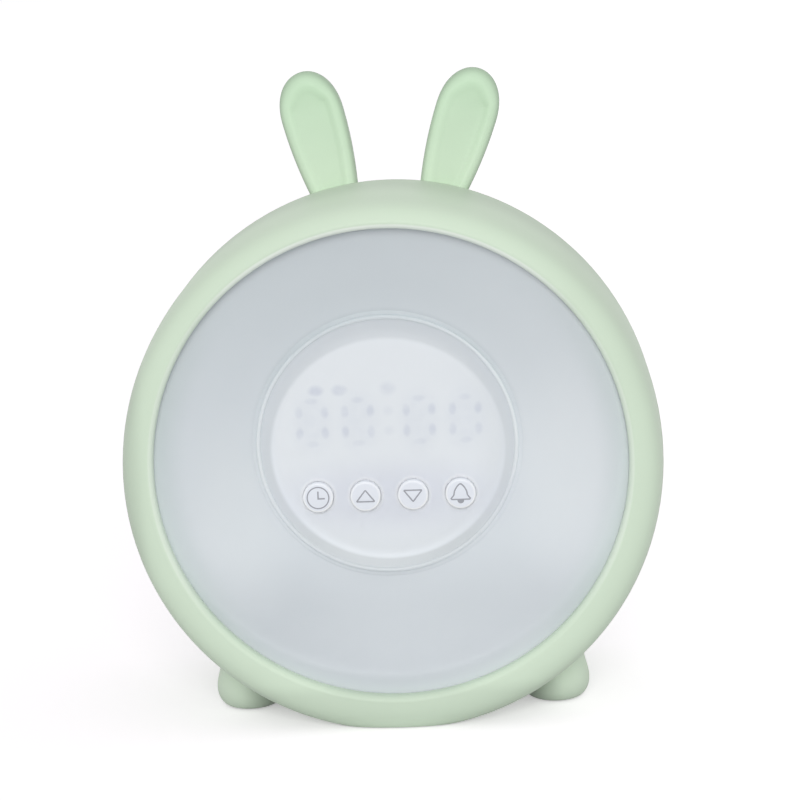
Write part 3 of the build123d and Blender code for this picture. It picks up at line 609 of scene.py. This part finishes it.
finishes = {
    shell_plastic: ["front_shell", "rear_cover", "battery_cap"],
    foot_plastic: ["left_foot", "right_foot"],
    ear_plastic: ["left_ear", "right_ear"],
    opal_plastic: ["diffuser"],
    cap_plastic: [f"button_{name}" for name in BUTTONS],
    white_plastic: [
        "display_hood", "display_stand", "reflector",
        "speaker_plug", "cable_sockets", "ribbon_cable",
    ],
    black_plastic: [
        "switch_bodies", "main_chips", "socket_tongue", "speaker_basket",
        *(f"plunger_{name}" for name in BUTTONS),
    ],
    guide_plastic: ["digit_segments"],
    lens_plastic: ["light_leds", "display_leds"],
    lead_plastic: ["speaker_leads"],
    steel: [
        "case_screws", "display_screws", "foot_screws", "main_board_screws",
        "reflector_screws", "speaker_screws", "stand_screws", "speaker_magnet",
    ],
    bright_steel: ["power_socket", "coin_cell"],
    spring_brass: ["cell_contacts"],
    pad_rubber: ["foot_pads", "base_pad"],
    cone_rubber: ["speaker_cone"],
    speaker_cloth: ["grille_cloth"],
    resist: ["led_board", "display_board", "main_board"],
}


def finish_node(name, material):
    """Gives a CAD node its material."""
    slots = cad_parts[name].data.materials
    slots.clear()
    slots.append(material)


for material, nodes in finishes.items():
    for node in nodes:
        finish_node(node, material)


# ---------------------------------------------------------------- mesh helpers
def smoothstep(value, low, high):
    share = min(max((value - low) / (high - low), 0.0), 1.0)
    return share * share * (3 - 2 * share)


def join_columns(shape, columns):
    """Faces between neighbouring columns of vertices."""
    for left, right in zip(columns, columns[1:]):
        for i in range(len(left) - 1):
            shape.faces.new((left[i], left[i + 1], right[i + 1], right[i]))


def new_piece(name, shape, material, body, smooth=True):
    """Links a finished bmesh as a piece that rides on a body."""
    bmesh.ops.recalc_face_normals(shape, faces=shape.faces)
    mesh = bpy.data.meshes.new(name)
    shape.to_mesh(mesh)
    shape.free()
    mesh.materials.append(material)
    for face in mesh.polygons:
        face.use_smooth = smooth
    piece = bpy.data.objects.new(name, mesh)
    bpy.context.collection.objects.link(piece)
    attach(piece, body)
    return piece


# ---------------------------------------------------------------- ears
EAR_LENGTH = 35.1 * MM
EAR_WAIST = 8.4 * MM                # half width where the ear leaves the casing
EAR_WIDEST = 10.1 * MM
EAR_WIDEST_RISE = 20.2 * MM
EAR_ROOT_Z = 165.5 * MM
EAR_SINK = 6.0 * MM                 # length below the root, inside the casing's outline
EAR_HALF_THICKNESS = 6.0 * MM
EAR_TIP_POWER = 2.27                # 2 is an ellipse, more is squarer
EAR_SPINE_TOP = 22.0 * MM
EAR_FRONT_ROUNDING = 3.0 * MM
EAR_BACK_ROUNDING = 4.4 * MM
EAR_BORDER_STRETCH = 0.45           # how much wider the border is at the tip
EAR_SEAT_RADIUS = 83.3 * MM         # of the casing where the ears stand
EAR_SEAT_DEPTH = 1.6 * MM
EAR_SIDE_STEPS = 26
EAR_TIP_STEPS = 40
EAR_INSETS = [
    inset * MM
    for inset in (0, 0.1, 0.3, 0.6, 1.0, 1.45, 1.95, 2.5, 2.9, 3.3, 3.7, 4.1, 4.5, 4.9, 5.4, 6.3, 7.4)
]


def ear_outline():
    """Right edge from below the root up to the tip, then down the left edge."""
    side = []
    for i in range(EAR_SIDE_STEPS):
        rise = -EAR_SINK + (EAR_WIDEST_RISE + EAR_SINK) * i / EAR_SIDE_STEPS
        share = (EAR_WIDEST_RISE - rise) / (EAR_WIDEST_RISE + 1.0 * MM)
        side.append((EAR_WIDEST - (EAR_WIDEST - EAR_WAIST) * share ** 2, rise))
    for i in range(EAR_TIP_STEPS):
        angle = math.pi / 2 * i / EAR_TIP_STEPS
        reach = EAR_LENGTH - EAR_WIDEST_RISE
        side.append((
            EAR_WIDEST * math.cos(angle),
            EAR_WIDEST_RISE + reach * math.sin(angle) ** (2 / EAR_TIP_POWER),
        ))
    return side + [(0.0, EAR_LENGTH)] + [(-x, y) for x, y in reversed(side)]


def ear_face(inset, rounding, scoop):
    """Distance of the face from the ear's middle plane, this far in from its outline."""
    flat = EAR_HALF_THICKNESS
    if inset < rounding:
        flat += math.sqrt(rounding ** 2 - (rounding - inset) ** 2) - rounding
    return flat - scoop * smoothstep(inset, 2.7 * MM, 5.4 * MM)


def scoop_depth(x, y, left, right):
    """Depth of the scoop in front: it changes from left to right and runs out at the tip."""
    across = smoothstep(x, -0.6 * EAR_WIDEST, 0.6 * EAR_WIDEST)
    return (left + (right - left) * across) * (1 - 0.6 * smoothstep(y, 22 * MM, 31 * MM))


def ear_column(x, y, rounding, scoops):
    """Places on one face from the outline in to the spine: x, y, half thickness and inset."""
    spine_y = min(y, EAR_SPINE_TOP)
    to_spine = Vector((-x, spine_y - y))
    reach = to_spine.length
    stretch = 1 + EAR_BORDER_STRETCH * smoothstep((y - spine_y) / reach, 0.3, 1.0)
    column = []
    for inset in [*EAR_INSETS, reach / stretch]:
        step = to_spine * (inset * stretch / reach)
        scoop = scoop_depth(x + step.x, y + step.y, *scoops)
        column.append((x + step.x, y + step.y, ear_face(inset, rounding, scoop), inset))
    return column


def make_ear(name, foot_x, tilt, left_scoop, right_scoop):
    """Ear with a soft scoop in its front, framed by a raised border that is wider at the tip."""
    lean = math.radians(tilt)
    across = Vector((math.cos(lean), 0, -math.sin(lean)))
    up = Vector((math.sin(lean), 0, math.cos(lean)))
    root = Vector((foot_x, middle(name).y, EAR_ROOT_Z))
    shape = bmesh.new()
    inset_layer = shape.verts.layers.float.new("inset")

    def vertex(x, y, forward, inset):
        """Vertex in the ear's frame, lifted to just under the casing's surface."""
        place = root + across * x + up * y + Vector((0, -forward, 0))
        casing_rise = math.sqrt(EAR_SEAT_RADIUS ** 2 - place.x ** 2)
        place.z = max(place.z, casing_z + casing_rise - EAR_SEAT_DEPTH)
        point = shape.verts.new(place)
        point[inset_layer] = inset / MM
        return point

    sides = (
        (1, EAR_FRONT_ROUNDING, (left_scoop, right_scoop)),
        (-1, EAR_BACK_ROUNDING, (0.0, 0.0)),
    )
    edges = []
    for side, rounding, scoops in sides:
        columns = [
            [vertex(x, y, side * half, inset) for x, y, half, inset in column]
            for column in (ear_column(x, y, rounding, scoops) for x, y in ear_outline())
        ]
        join_columns(shape, columns)
        edges.append([column[0] for column in columns])
    join_columns(shape, edges)
    bmesh.ops.remove_doubles(shape, verts=shape.verts, dist=0.01 * MM)
    gaps = [edge for edge in shape.edges if edge.is_boundary]
    bmesh.ops.holes_fill(shape, edges=gaps)
    piece = new_piece(f"{name}_shell", shape, ear_plastic, "casing")
    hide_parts(name)


# ---------------------------------------------------------------- icons on the buttons
# All sizes here are millimetres on the button's face.
CLOCK_RING_RADIUS = 3.35
CLOCK_RING_WIDTH = 0.38
CLOCK_HANDS = [(0.05, 2.05), (0.05, -0.25), (2.1, -0.25)]
CLOCK_HANDS_WIDTH = 0.46
TRIANGLE_TOP = 2.0
TRIANGLE_BASE = (2.8, -1.6)
TRIANGLE_WIDTH = 0.44
TRIANGLE_CORNER = 0.35
BELL_SIDE = [
    (0.0, 3.15), (0.45, 2.95), (1.2, 2.1), (1.85, 0.9), (2.1, -0.3), (2.6, -1.0), (2.95, -1.45),
]
BELL_BASE = (2.75, -1.75)
BELL_WIDTH = 0.42
CLAPPER_RADIUS = 1.05
CLAPPER_TOP = -1.98
INK_OVER, INK_UNDER = 0.03, -0.05       # the ink's two faces, from the cap's surface


def curve_through(points, steps=8):
    """Smooth line that passes through all the points."""
    line = []
    last = len(points) - 1
    for i in range(last):
        before, start = Vector(points[max(i - 1, 0)]), Vector(points[i])
        end, after = Vector(points[i + 1]), Vector(points[min(i + 2, last)])
        for k in range(steps):
            t = k / steps
            line.append(0.5 * (
                2 * start + (end - before) * t
                + (2 * before - 5 * start + 4 * end - after) * t ** 2
                + (3 * start - before - 3 * end + after) * t ** 3
            ))
    return line + [Vector(points[-1])]


def rounded(points, radius, steps=5):
    """Closed outline with its corners rounded by short curves."""
    line = []
    for i, corner in enumerate(points):
        corner = Vector(corner)
        arrive = (Vector(points[i - 1]) - corner).normalized() * radius
        leave = (Vector(points[(i + 1) % len(points)]) - corner).normalized() * radius
        for k in range(steps + 1):
            t = k / steps
            line.append(corner + arrive * (1 - t) ** 2 + leave * t ** 2)
    return line


def stepped(points, closed, step=0.25):
    """The same line with points no further apart than the step."""
    line = []
    ends = list(points[1:]) + ([points[0]] if closed else [])
    for start, end in zip(points, ends):
        start, end = Vector(start), Vector(end)
        count = max(1, math.ceil((end - start).length / step))
        line += [start.lerp(end, i / count) for i in range(count)]
    return line if closed else line + [Vector(points[-1])]


def stroke(points, width, closed):
    """Pairs of left and right edge points of an inked line."""
    edges = []
    points = stepped(points, closed)
    count = len(points)
    for i, place in enumerate(points):
        before = points[i - 1] if closed or i else place
        after = points[(i + 1) % count] if closed or i < count - 1 else place
        inwards, outwards = (place - before), (after - place)
        way_in = inwards.normalized() if inwards.length else outwards.normalized()
        way_out = outwards.normalized() if outwards.length else inwards.normalized()
        way = (way_in + way_out).normalized()
        side = Vector((-way.y, way.x)) * (width / 2 / max(way.dot(way_out), 0.5))
        edges.append((place + side, place - side))
    return edges


def clock_icon():
    """Ring and two hands."""
    angles = [math.radians(5 * i) for i in range(72)]
    ring = [
        (CLOCK_RING_RADIUS * math.cos(angle), CLOCK_RING_RADIUS * math.sin(angle))
        for angle in angles
    ]
    return [
        (stroke(ring, CLOCK_RING_WIDTH, True), True),
        (stroke(CLOCK_HANDS, CLOCK_HANDS_WIDTH, False), False),
    ]


def triangle_icon(sign):
    """Outlined triangle that points up for 1 and down for -1."""
    base_x, base_y = TRIANGLE_BASE
    corners = [(0, TRIANGLE_TOP * sign), (base_x, base_y * sign), (-base_x, base_y * sign)]
    return [(stroke(rounded(corners, TRIANGLE_CORNER), TRIANGLE_WIDTH, True), True)]


def bell_icon():
    """Outlined bell with a filled half-round clapper under it."""
    right = curve_through(BELL_SIDE)
    left = [Vector((-place.x, place.y)) for place in reversed(right)]
    base_x, base_y = BELL_BASE
    outline = left + right[1:] + [Vector((base_x, base_y)), Vector((-base_x, base_y))]
    clapper = []
    for i in range(15):
        angle = math.pi * (0.04 + 0.92 * i / 14)
        x, drop = CLAPPER_RADIUS * math.cos(angle), CLAPPER_RADIUS * math.sin(angle)
        clapper.append((Vector((x, CLAPPER_TOP)), Vector((x, CLAPPER_TOP - drop))))
    return [(stroke(outline, BELL_WIDTH, True), True), (clapper, False)]


def make_icon(name, strokes):
    """Thin ink lines that follow the cap's dome, on the moving button."""
    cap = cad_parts[f"button_{name}"]
    cap_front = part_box(f"button_{name}")[0].y
    centre = button_middles[name]
    surface = BVHTree.FromObject(cap, bpy.context.evaluated_depsgraph_get())
    shape = bmesh.new()

    def on_cap(place, lift):
        start = Vector((centre.x + place.x * MM, cap_front - 5 * MM, centre.z + place.y * MM))
        hit = surface.ray_cast(start, Vector((0, 1, 0)))[0]
        return shape.verts.new(hit - Vector((0, lift * MM, 0)))

    for edges, closed in strokes:
        rows = [
            [on_cap(left, INK_OVER), on_cap(right, INK_OVER),
             on_cap(right, INK_UNDER), on_cap(left, INK_UNDER)]
            for left, right in edges
        ]
        pairs = list(zip(rows, rows[1:]))
        if closed:
            pairs.append((rows[-1], rows[0]))
        else:
            shape.faces.new(rows[0])
            shape.faces.new(rows[-1])
        for first, second in pairs:
            for k in range(4):
                after = (k + 1) % 4
                shape.faces.new((first[k], first[after], second[after], second[k]))
    new_piece(f"icon_{name}", shape, icon_ink, f"{name}_button", smooth=False)


# ---------------------------------------------------------------- floor, lights, background
FLOOR_SIZE = 60
FLOOR_GLOW = 0.345                              # lifts the lit floor to white
# more lift on the right, which is painted light that pales the shadow right of the clock
FLOOR_GLOW_RIGHT = 0.41
FLOOR_GLOW_PLACES = (20 * MM, 60 * MM)          # the lift grows between these x
FLOOR_TONE = (0.95, 0.91, 0.95, 1)
FLOOR_BOUNCE = (0.6, 0.6, 0.6, 1)               # the floor's colour for light it throws back
AMBIENT = 0.57
BACKGROUND = 1.0


def seen_directly(graph):
    """One for rays that show the background: from the camera, in gloss and through glass."""
    path = graph.add("LightPath").outputs
    total = path["Is Camera Ray"]
    for name in ("Is Glossy Ray", "Is Transmission Ray"):
        total = graph.larger(total, path[name])
    return total


def make_floor():
    """Pale floor, lifted to white where it is seen, that keeps the clock's shadow, paled on the right
    by painted light.
    """
    bpy.ops.mesh.primitive_plane_add(size=FLOOR_SIZE, location=(0, 0, 0))
    floor = bpy.context.object
    floor.name = "floor"
    material = bpy.data.materials.new("floor_white")
    graph = Graph(material)
    graph.tree.nodes.clear()
    seen = seen_directly(graph)
    x, _, _ = graph.split()
    # the lift grows to the right: painted light on the floor there
    lift = graph.span(x, *FLOOR_GLOW_PLACES, FLOOR_GLOW, FLOOR_GLOW_RIGHT)
    matt = graph.add("BsdfDiffuse")
    graph.wire(graph.mix(seen, FLOOR_BOUNCE, FLOOR_TONE), matt.inputs["Color"])
    glow = graph.add("Emission")
    graph.wire(graph.times(seen, lift), glow.inputs["Strength"])
    both = graph.add("AddShader")
    graph.wire(matt.outputs[0], both.inputs[0])
    graph.wire(glow.outputs[0], both.inputs[1])
    graph.wire(both.outputs[0], graph.add("OutputMaterial").inputs["Surface"])
    floor.data.materials.append(material)


def make_world():
    """White background, whose light on the clock is the ambient level."""
    world = bpy.data.worlds.new("studio")
    graph = Graph(world)
    background = graph.tree.nodes["Background"]
    background.inputs["Color"].default_value = (1, 1, 1, 1)
    level = graph.span(seen_directly(graph), 0, 1, AMBIENT, BACKGROUND)
    graph.wire(level, background.inputs["Strength"])
    bpy.context.scene.world = world


def soft_lamp(name, azimuth, elevation, spread, level):
    """Broad even light; azimuth 0 is straight in front, level 1 shows a colour as written."""
    data = bpy.data.lights.new(name, "SUN")
    data.angle = math.radians(spread)
    data.energy = level * math.pi
    lamp = bpy.data.objects.new(name, data)
    bpy.context.collection.objects.link(lamp)
    turn, rise = math.radians(azimuth), math.radians(elevation)
    towards = Vector((
        math.sin(turn) * math.cos(rise), -math.cos(turn) * math.cos(rise), math.sin(rise)
    ))
    lamp.rotation_euler = (-towards).to_track_quat("-Z", "Y").to_euler()


# ---------------------------------------------------------------- the scene
make_camera()
make_ear("left_ear", -18.7 * MM, -14.0, 0.6 * MM, 0.8 * MM)
make_ear("right_ear", 19.4 * MM, 18.9, 0.3 * MM, 1.1 * MM)
make_icon("clock", clock_icon())
make_icon("up", triangle_icon(1))
make_icon("down", triangle_icon(-1))
make_icon("alarm", bell_icon())
make_floor()
make_world()
soft_lamp("key", azimuth=1, elevation=22, spread=30, level=0.46)

scene = bpy.context.scene
scene.view_settings.view_transform = "Standard"
